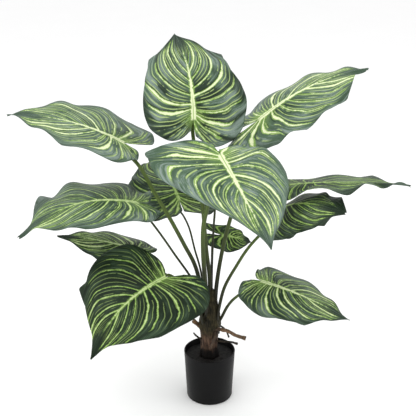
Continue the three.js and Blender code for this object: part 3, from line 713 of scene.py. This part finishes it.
        # and the cream turns limier on low leaves: partly painted shade
        pale = between(pale, LIME, 0.3 * shade)
        printed = self.math("MAXIMUM", core, band)
        color = self.mix(printed, color, pale)
        color = self.mix(rib, color, LIME)
        if underside:
            color = self.mix(0.6, color, UNDERSIDE)
        relief = self.add(self.mul(printed, -0.5), self.mul(streak, 0.9))
        normal = self.bump(relief, PRINT_RELIEF * MM)
        normal = self.bump(self.noise(self.flat, 900.0, 1.0), WEAVE * MM, normal)
        self.finish(color, self.through_noise(streak, 0.52, 0.4), normal,
                    Specular_IOR_Level=0.2)


# ---------- the other finishes

SHADED_FOOT_ENDS = (0.1, 0.124)  # heights in metres between which the trunk's near-black foot, which is painted shade, ends
OLIVE_STARTS = (0.128, 0.158)  # and its olive top begins


def stem_skin(name, low, high):
    """Satin green plastic, browner towards the trunk, with fine lengthwise streaks."""
    make = Finish(name)
    around, along, _ = make.split(make.uv("along"))
    place = make.place()
    where = make.vector(make.mul(around, 9.0), make.mul(along, 3.0))
    streak = make.noise(where, 1.0, 3.0)
    mottle = make.noise(place, 60.0, 3.0)
    grain = make.noise(place, 900.0, 2.0)
    darker = [c * 0.5 for c in high[:3]] + [1.0]
    green = make.mix(make.through_noise(streak, 0.0, 1.0), high, darker)
    climb = make.add(along, make.mul(make.sub(mottle, 0.5), 0.25))
    color = make.mix(make.ramp(climb, 0.1, 0.6), low, green)
    normal = make.bump(make.add(streak, make.mul(grain, 0.3)), 0.35 * MM)
    return make.finish(color, make.through_noise(mottle, 0.42, 0.55), normal,
                       Specular_IOR_Level=0.25)


def fibres(make, place, stretch, scale, patch_scale):
    """Fibres that run up a piece, the patches between them, their tone and relief."""
    x, y, z = make.split(place)
    fibre = make.noise(make.vector(x, y, make.mul(z, stretch)), scale, 4.0, 0.65)
    patch = make.noise(place, patch_scale, 3.0)
    grain = make.noise(place, 1400.0, 2.0)
    tone = make.ramp(make.add(make.mul(fibre, 0.6), make.mul(patch, 0.4)), 0.36, 0.66)
    return fibre, patch, tone, make.add(fibre, make.mul(grain, 0.2))


def bark(name, dark, light):
    """Moulded brown plastic with fibres that run up it."""
    make = Finish(name)
    fibre, _, tone, relief = fibres(make, make.place(), 0.16, 360.0, 90.0)
    normal = make.bump(relief, 0.8 * MM)
    return make.finish(make.mix(tone, dark, light), make.through_noise(fibre, 0.75, 0.55),
                       normal, Specular_IOR_Level=0.3)


def trunk_skin():
    """Dark olive where the stems are gathered, purplish brown below, near black at the foot as
    painted shade, with fibres.
    """
    make = Finish("trunk_brown")
    place = make.place()
    fibre, patch, tone, relief = fibres(make, place, 0.14, 380.0, 70.0)
    # the foot's near black is painted shade, low on the trunk by the pot
    foot = make.mix(tone, srgb(10, 9, 8), srgb(24, 20, 18))
    brown = make.mix(tone, srgb(34, 26, 22), srgb(108, 84, 68))
    olive = make.mix(tone, srgb(20, 19, 12), srgb(62, 56, 36))
    height = make.add(make.split(place)[2], make.mul(make.sub(patch, 0.5), 0.03))
    color = make.mix(make.ramp(height, *SHADED_FOOT_ENDS), foot, brown)
    color = make.mix(make.ramp(height, *OLIVE_STARTS), color, olive)
    normal = make.bump(relief, 1.0 * MM)
    return make.finish(color, make.through_noise(fibre, 0.8, 0.65), normal,
                       Specular_IOR_Level=0.15)


def filling_skin():
    """Rough dark filling, browner round the trunk."""
    make = Finish("filling_dark")
    place = make.place()
    x, y, _ = make.split(place)
    lump = make.noise(place, 160.0, 4.0, 0.6)
    grain = make.noise(place, 900.0, 3.0)
    out = make.math("SQRT", make.add(make.mul(x, x), make.mul(y, y)))
    out = make.add(out, make.mul(make.sub(lump, 0.5), 0.012))
    near = make.mul(make.fall(out, 0.018, 0.036), 0.7)
    plain = make.mix(make.ramp(lump, 0.35, 0.65), srgb(27, 27, 27), srgb(42, 41, 40))
    color = make.mix(near, plain, srgb(26, 22, 19))
    normal = make.bump(make.add(lump, make.mul(grain, 0.4)), 1.2 * MM)
    return make.finish(color, 0.85, normal, Specular_IOR_Level=0.25)


def pot_plastic():
    """Black moulded plastic with a fine satin grain and faint scuffs."""
    make = Finish("pot_black")
    place = make.place()
    cloud = make.noise(place, 24.0, 3.0)
    grain = make.noise(place, 1800.0, 2.0)
    scuff = make.ramp(make.noise(place, 300.0, 4.0, 0.7), 0.62, 0.75)
    plain = make.mix(make.ramp(cloud, 0.35, 0.65), srgb(2, 2, 2), srgb(4, 4, 5))
    color = make.mix(make.mul(scuff, 0.12), plain, srgb(50, 50, 48))
    normal = make.bump(grain, 0.1 * MM)
    return make.finish(color, make.through_noise(cloud, 0.36, 0.46), normal,
                       Specular_IOR_Level=0.16)


def floor_paint():
    make = Finish("floor_white")
    cloud = make.noise(make.place(), 3.0, 2.0)
    color = make.mix(cloud, (0.96, 0.96, 0.96, 1), (0.98, 0.98, 0.98, 1))
    return make.finish(color, 0.9, Specular_IOR_Level=0.1)


# ---------- blades

outline = Track([(*point, 0) for point in OUTLINE])


def leaf_axes(leaf):
    base, tip = Vector(leaf["base"]), Vector(leaf["tip"])
    along = (tip - base).normalized()
    face = Vector((0, 0, 1))
    face = (face - along * face.dot(along)).normalized()
    face = Matrix.Rotation(math.radians(leaf["roll"]), 3, along) @ face
    return base, along, face, along.cross(face), (tip - base).length


def bow(q):
    """The midrib's height above its chord at a share q of the length."""
    return 4 * q * (1 - q) if q >= 0 else 4 * q * (1 + 2 * q)


def bow_slope(q):
    return 4 - 8 * q if q >= 0 else 4 + 16 * q


def bump_height(bumps, s):
    return sum(height * max(1 - abs(s - place) / run, 0) for place, height, run in bumps)


def blade_point(leaf, axes, s, t, side, relief=0.0):
    """A point of the blade's middle surface, its place along and across the flat leaf, and
    the latter in shares of the half width without bumps. s runs from the notch's edge to
    the tip, t from the midrib to the margin, and side is 0 or 1."""
    base, along, face, right, length = axes
    margin = outline.at(s)
    half = leaf["half"][side]
    fullness = max(1 - leaf["slim"][side] * max(margin.x, 0), 0)
    end = margin.x * leaf["reach"][side] if margin.x < 0 else margin.x
    start = leaf["notch"] + (MIDRIB_END - leaf["notch"]) * s ** VEIN_START_POWER
    cleft = leaf["cleft"] * (1 - s) ** CLEFT_FADE
    even = margin.y + cleft
    edge = even + bump_height(leaf["bumps"][side], s)
    at_notch = NOTCH_HALF_WIDTH * (1 - s)
    across = (max(edge * half * fullness, TIP_HALF_WIDTH) + at_notch) * t
    even = max(even * half * fullness, TIP_HALF_WIDTH) + at_notch
    lean = leaf["skew"][side] * across / length
    q = start + (end - start) * t ** (1 + VEIN_SWEEP * s) + lean

    fold = math.radians(leaf["fold"][side])
    curl = math.radians(leaf["curl"][side]) or NEARLY_ZERO
    turned_by = fold + curl * across / half
    sideways = half / curl * (math.sin(turned_by) - math.sin(fold))
    raised = half / curl * (math.cos(fold) - math.cos(turned_by))
    turns = WAVES * s + leaf["phase"] + side / 4
    wave = leaf["wave"][side] * t * t * math.sin(2 * math.pi * turns)
    height = raised + wave + relief

    slope = math.atan(leaf["arch"] * bow_slope(q) / length)
    x = q * length - math.sin(slope) * height
    y = leaf["sweep"] * bow(q) + (sideways if side else -sideways)
    z = leaf["arch"] * bow(q) + math.cos(slope) * height
    return base + along * x + right * y + face * z, q * length, across, across / even


RIPPLE = 1.1  # height of the small folds across the margins
RIPPLES = (9, 1.5)  # how close they are, along the leaf and out
QUILT = 0.5  # depth of the furrows along the veins
MOST_OUT = 1.2  # keeps a high corner's place across below the lines' end
CORNERS_COUNT = (0.1, 0.25)  # from the notch on, the print's place across leaves out corners


def stripe_line(s, t):
    outward = SLANT * t ** SLANT_POWER - HOOK * math.log(1 - CROWDING * t)
    return s - (BEND_START + BEND_GROWTH * s) * outward


def blade_relief(number, s, t):
    """Small folds towards the margin, and shallow furrows along the veins."""
    furrow = abs((stripe_line(s, t) * STRIPES + FIRST_STRIPE) % 1 - 0.5) * 2
    reach = smoothstep(0, 0.2, t) * (1 - smoothstep(0.75, 1, t))
    place = Vector((s * RIPPLES[0], t * RIPPLES[1], number * 3.7))
    fold = noise.noise(place) + 0.5 * noise.noise(place * 2.3)
    return RIPPLE * fold * (0.15 + t) * smoothstep(0, 0.15, t) + QUILT * reach * (furrow - 0.5)


def blade(leaf, number):
    """A leaf's printed blade, with its folds, furrows and thickness."""
    bm = bmesh.new()
    bmesh.ops.create_grid(bm, x_segments=2 * BLADE_COLUMNS, y_segments=BLADE_ROWS, size=1)
    veins = bm.loops.layers.uv.new("veins")
    flat = bm.loops.layers.uv.new("flat")
    axes = leaf_axes(leaf)
    places = {}
    for v in bm.verts:
        signed, s = v.co.x, clamp01((v.co.y + 1) / 2)
        side = 1 if signed > NEARLY_ZERO else 0
        t = min(abs(signed), 1)
        relief = blade_relief(number, s, t)
        point, x, across, out = blade_point(leaf, axes, s, t, side, relief)
        sign = 1 if side else -1
        out = min(lerp(t, out, smoothstep(*CORNERS_COUNT, s)), MOST_OUT)
        places[v] = ((0.5 + sign * out / 2, s), (x * MM, sign * across * MM))
        v.co = point * MM
    for face in bm.faces:
        for loop in face.loops:
            loop[veins].uv, loop[flat].uv = places[loop.vert]
    bmesh.ops.recalc_face_normals(bm, faces=bm.faces)
    if bm.faces[0].normal.dot(axes[2]) < 0:
        bmesh.ops.reverse_faces(bm, faces=bm.faces)
    materials = [LeafPrintAndPaintedLight(leaf, number, underside).material for underside in (False, True)]
    made = piece(leaf["name"] + "_print", bm, materials, leaf["name"] + "_blade")
    shell = made.modifiers.new("thickness", "SOLIDIFY")
    shell.thickness = BLADE_THICKNESS * MM
    shell.offset = 0
    shell.use_rim = True
    shell.material_offset = 1
    shell.material_offset_rim = 1


# ---------- stems and roots


def stem_track(leaf):
    axes = leaf_axes(leaf)
    _, along, face, _, _ = axes
    notch = blade_point(leaf, axes, 0, 0, 0)[0]
    x, y, z = leaf["root"]
    foot = (x * SOCKET_LEAN, y * SOCKET_LEAN, z - SOCKET_DEPTH)
    points = [Vector(place) for place in (foot, leaf["root"], *leaf["via"])]
    neck = leaf["radius"] * STEM_NECK
    points.append(notch - face * NECK_DROP - along * NECK_SETBACK)
    for share in WIRE_POINTS:
        s = (share / MIDRIB_END) ** (1 / VEIN_START_POWER)
        radius = lerp(neck, WIRE_RADIUS, share / WIRE_REACH)
        under = blade_point(leaf, axes, s, 0, 0)[0]
        points.append(under - face * (radius + BLADE_THICKNESS / 2 + GAP))
    return Track([p * MM for p in points])


STEM_GROOVE = 0.16  # depth of the groove along a stem, as a share of its radius
GROOVE_WIDTH = 0.09  # in turns round the stem
STEM_RINGS, STEM_SIDES = 90, 20
ROOT_RINGS, ROOT_SIDES = 36, 18
KNOT_HEIGHT = 0.16  # as shares of a root's radius
RING_HEIGHT = 0.06


def stem(leaf, material):
    track = stem_track(leaf)
    length = leaf_axes(leaf)[4] * MM
    wire_share = WIRE_REACH * length / track.length
    neck = leaf["radius"] * STEM_NECK

    def radius_at(share):
        petiole = share / (1 - wire_share)
        if petiole < 1:
            return lerp(leaf["radius"], neck, petiole) * MM
        return lerp(neck, WIRE_RADIUS, (share - 1 + wire_share) / wire_share) * MM

    def groove(around, share):
        dip = math.exp(-((around - 0.5) / GROOVE_WIDTH) ** 2)
        return 1 - STEM_GROOVE * dip * (1 - share)

    bm = tube(track, STEM_RINGS, STEM_SIDES, radius_at, groove)
    piece(leaf["name"] + "_petiole", bm, [material], leaf["name"] + "_stem")


def root_stub(root, material, number):
    track = Track([Vector(p) * MM for p in root["points"]])
    radii = root["radii"]

    def radius_at(share):
        place = share * (len(radii) - 1)
        before = min(int(place), len(radii) - 2)
        return lerp(radii[before], radii[before + 1], place - before) * MM

    def knots(around, share):
        angle = 2 * math.pi * around
        place = Vector((math.cos(angle), math.sin(angle), share * 7 + number * 5))
        ring = RING_HEIGHT * math.sin(share * 34)
        return 1 + KNOT_HEIGHT * noise.noise(place * 1.3) + ring

    bm = tube(track, ROOT_RINGS, ROOT_SIDES, radius_at, knots)
    piece(root["name"] + "_bark", bm, [material], root["name"])


# ---------- trunk, filling and pot

SPIN_STEPS = 96  # round the trunk, its sheath and the filling
POT_STEPS = 144
TRUNK_RINGS = 60
SHEATH_RINGS = 40
FILLING_RINGS = 36
TRUNK_FIBRES = (90, 22)  # how close they are round the trunk and up it
FIBRE_HEIGHT = 0.05  # as a share of the radius
FOLD_HEIGHT = 0.3
FILLING_LUMPS = 1.6  # height of its lumps
LUMPS_SCALE = 110
RIM_ROUND = 0.45  # radius of the pot's rounded rim
FOOT_ROUND = 0.8


def inner_radius(z):
    return POT_BASE_RADIUS + (POT_TOP_RADIUS - POT_BASE_RADIUS) * z / POT_HEIGHT - POT_WALL


def smoothed(profile, rings):
    """Points of (radius, height) on a smooth curve through a profile."""
    curve = Track([(*point, 0) for point in profile])
    return [tuple(curve.at(i / rings).xy) for i in range(rings + 1)]


def trunk(material):
    """The stub, with ridges that wind round it and fibres that run up it."""
    bm = turned([(0, TRUNK_BOTTOM), *smoothed(TRUNK_PROFILE, TRUNK_RINGS),
                 (10, TRUNK_TOP + 1.5), (0, TRUNK_TOP + 2)], SPIN_STEPS)
    for v in bm.verts:
        share = (v.co.z / MM - TRUNK_BOTTOM) / (TRUNK_TOP - TRUNK_BOTTOM)
        angle = math.atan2(v.co.y, v.co.x)
        ridge = math.cos(TRUNK_RIDGES * (angle + TRUNK_TWIST * share))
        close, tall = TRUNK_FIBRES
        place = Vector((v.co.x * close, v.co.y * close, v.co.z * tall))
        fibre = noise.noise(place) + 0.5 * noise.noise(place * 2.7)
        wider = 1 + TRUNK_RIDGE_HEIGHT * ridge + FIBRE_HEIGHT * fibre
        v.co.x *= wider
        v.co.y *= wider
    piece("trunk_stub", bm, [material], "trunk")


def sheath(material):
    """Dark fibrous leaf bases round the feet of the stems."""
    low, high = SHEATH[0][1], SHEATH[-1][1]
    bm = turned([(0, low), *smoothed(SHEATH, SHEATH_RINGS), (0, high + 0.5)], SPIN_STEPS)
    for v in bm.verts:
        share = (v.co.z / MM - low) / (high - low)
        angle = math.atan2(v.co.y, v.co.x)
        place = Vector((math.cos(angle) * 2.6, math.sin(angle) * 2.6, share * 0.9))
        folds = FOLD_HEIGHT * noise.noise(place) + 0.12 * noise.noise(place * 3.1)
        wider = 1 + folds * smoothstep(0, 0.3, share)
        v.co.x = v.co.x * wider + SHEATH_LEAN * share * MM
        v.co.y *= wider
    piece("trunk_sheath", bm, [material], "trunk")


def filling(material):
    """The hard filling, with a lumpy top that is level at the pot's wall."""
    wall = inner_radius(FILLING_TOP) - GAP
    top = [(wall * i / FILLING_RINGS, FILLING_TOP) for i in reversed(range(FILLING_RINGS))]
    bottom = POT_FLOOR + GAP
    low_wall = inner_radius(bottom) - GAP
    bm = turned([(0, bottom), (low_wall, bottom), (wall, FILLING_TOP), *top], SPIN_STEPS)
    for v in bm.verts:
        if v.co.z < (FILLING_TOP - 1) * MM:
            continue
        out = math.hypot(v.co.x, v.co.y) / MM / wall
        place = v.co * LUMPS_SCALE
        lumps = noise.noise(place) + 0.5 * noise.noise(place * 2.4)
        lumps += 0.25 * noise.noise(place * 6)
        v.co.z += FILLING_LUMPS * MM * lumps * min(1, 4 * (1 - out))
    piece("filling_mass", bm, [material], "filling")


def pot(material):
    """The pot's wall and floor, with a softened foot and rim."""
    foot = POT_BASE_RADIUS - POT_CHAMFER
    top_in = inner_radius(POT_HEIGHT)
    profile = [
        (0, 0), (foot - FOOT_ROUND, 0), (foot, 0.15),
        (POT_BASE_RADIUS - 0.2, POT_CHAMFER - 0.4), (POT_BASE_RADIUS + 0.03, POT_CHAMFER + 0.5),
        (POT_TOP_RADIUS - 0.03, POT_HEIGHT - RIM_ROUND),
        (POT_TOP_RADIUS - 0.15, POT_HEIGHT - 0.13),
        (POT_TOP_RADIUS - RIM_ROUND, POT_HEIGHT), (top_in + RIM_ROUND, POT_HEIGHT),
        (top_in + 0.15, POT_HEIGHT - 0.13), (top_in, POT_HEIGHT - RIM_ROUND),
        (inner_radius(POT_FLOOR), POT_FLOOR), (0, POT_FLOOR),
    ]
    piece("pot_wall", turned(profile, POT_STEPS), [material], "pot")


# ---------- the whole plant

stem_green = stem_skin("stem_green", srgb(34, 33, 21), srgb(92, 112, 52))
stem_dark = stem_skin("stem_dark", srgb(31, 29, 20), srgb(60, 70, 38))
THIN_STEM = 3.0  # stems with a radius under this are the dark ones

for number, leaf in enumerate(LEAVES):
    blade(leaf, number)
    stem(leaf, stem_dark if leaf["radius"] < THIN_STEM else stem_green)

barks = {name: bark(name, dark, light) for name, dark, light in (
    ("root_brown", srgb(52, 40, 30), srgb(128, 100, 72)),
    ("root_tan", srgb(52, 38, 25), srgb(122, 92, 58)),
    # a darker copy of the root bark for the front root: painted shade
    ("root_shaded", srgb(34, 27, 21), srgb(80, 62, 46)),
    ("twig_dark", srgb(24, 21, 15), srgb(58, 48, 34)))}
for number, root in enumerate(ROOTS):
    root_stub(root, barks[root["tint"]], number)

bark_dark = trunk_skin()
trunk(bark_dark)
sheath(bark_dark)
filling(filling_skin())
pot(pot_plastic())

# ---------- floor, light, camera

FLOOR_HALF = 12
floor_bm = bmesh.new()
bmesh.ops.create_grid(floor_bm, x_segments=1, y_segments=1, size=FLOOR_HALF)
placed("floor", floor_bm, [floor_paint()])

world = bpy.data.worlds.new("studio")
world.use_nodes = True
background = world.node_tree.nodes["Background"].inputs
background["Color"].default_value = (1, 1, 1, 1)
background["Strength"].default_value = 1.0
bpy.context.scene.world = world

for name, place, aim, size, power in (
        ("key", (-0.9, -1.3, 2.4), (0, 0, 0.4), (1.6, 1.6), 14),
        ("top", (0.5, 0.6, 2.6), (0, 0, 0.4), (2.0, 2.0), 14),
        ("left_strip", (-1.8, -0.4, 0.7), (0, 0, 0.3), (0.5, 1.6), 6),
        ("right_strip", (1.8, -0.4, 0.7), (0, 0, 0.3), (0.5, 1.6), 4.5)):
    # a rectangular lamp that looks from a place at an aim, in metres and watts
    lamp = bpy.data.lights.new(name, "AREA")
    lamp.shape = "RECTANGLE"
    lamp.size, lamp.size_y = size
    lamp.energy = power
    light = bpy.data.objects.new(name, lamp)
    light.location = place
    towards = Vector(aim) - Vector(place)
    light.rotation_euler = towards.to_track_quat("-Z", "Y").to_euler()
    bpy.context.scene.collection.objects.link(light)

CAMERA_PLACE = (-0.003, -1.43, 0.96)
CAMERA_DOWN = 21.4  # degrees below the horizon
FOCAL_PIXELS = 834
PICTURE = 416
SENSOR = 36.0

camera_data = bpy.data.cameras.new("camera")
camera_data.sensor_width = SENSOR
camera_data.lens = FOCAL_PIXELS / PICTURE * SENSOR
camera = bpy.data.objects.new("camera", camera_data)
camera.location = CAMERA_PLACE
camera.rotation_euler = (math.radians(90 - CAMERA_DOWN), 0, 0)
bpy.context.scene.collection.objects.link(camera)
bpy.context.scene.camera = camera
bpy.context.scene.view_settings.view_transform = "Standard"
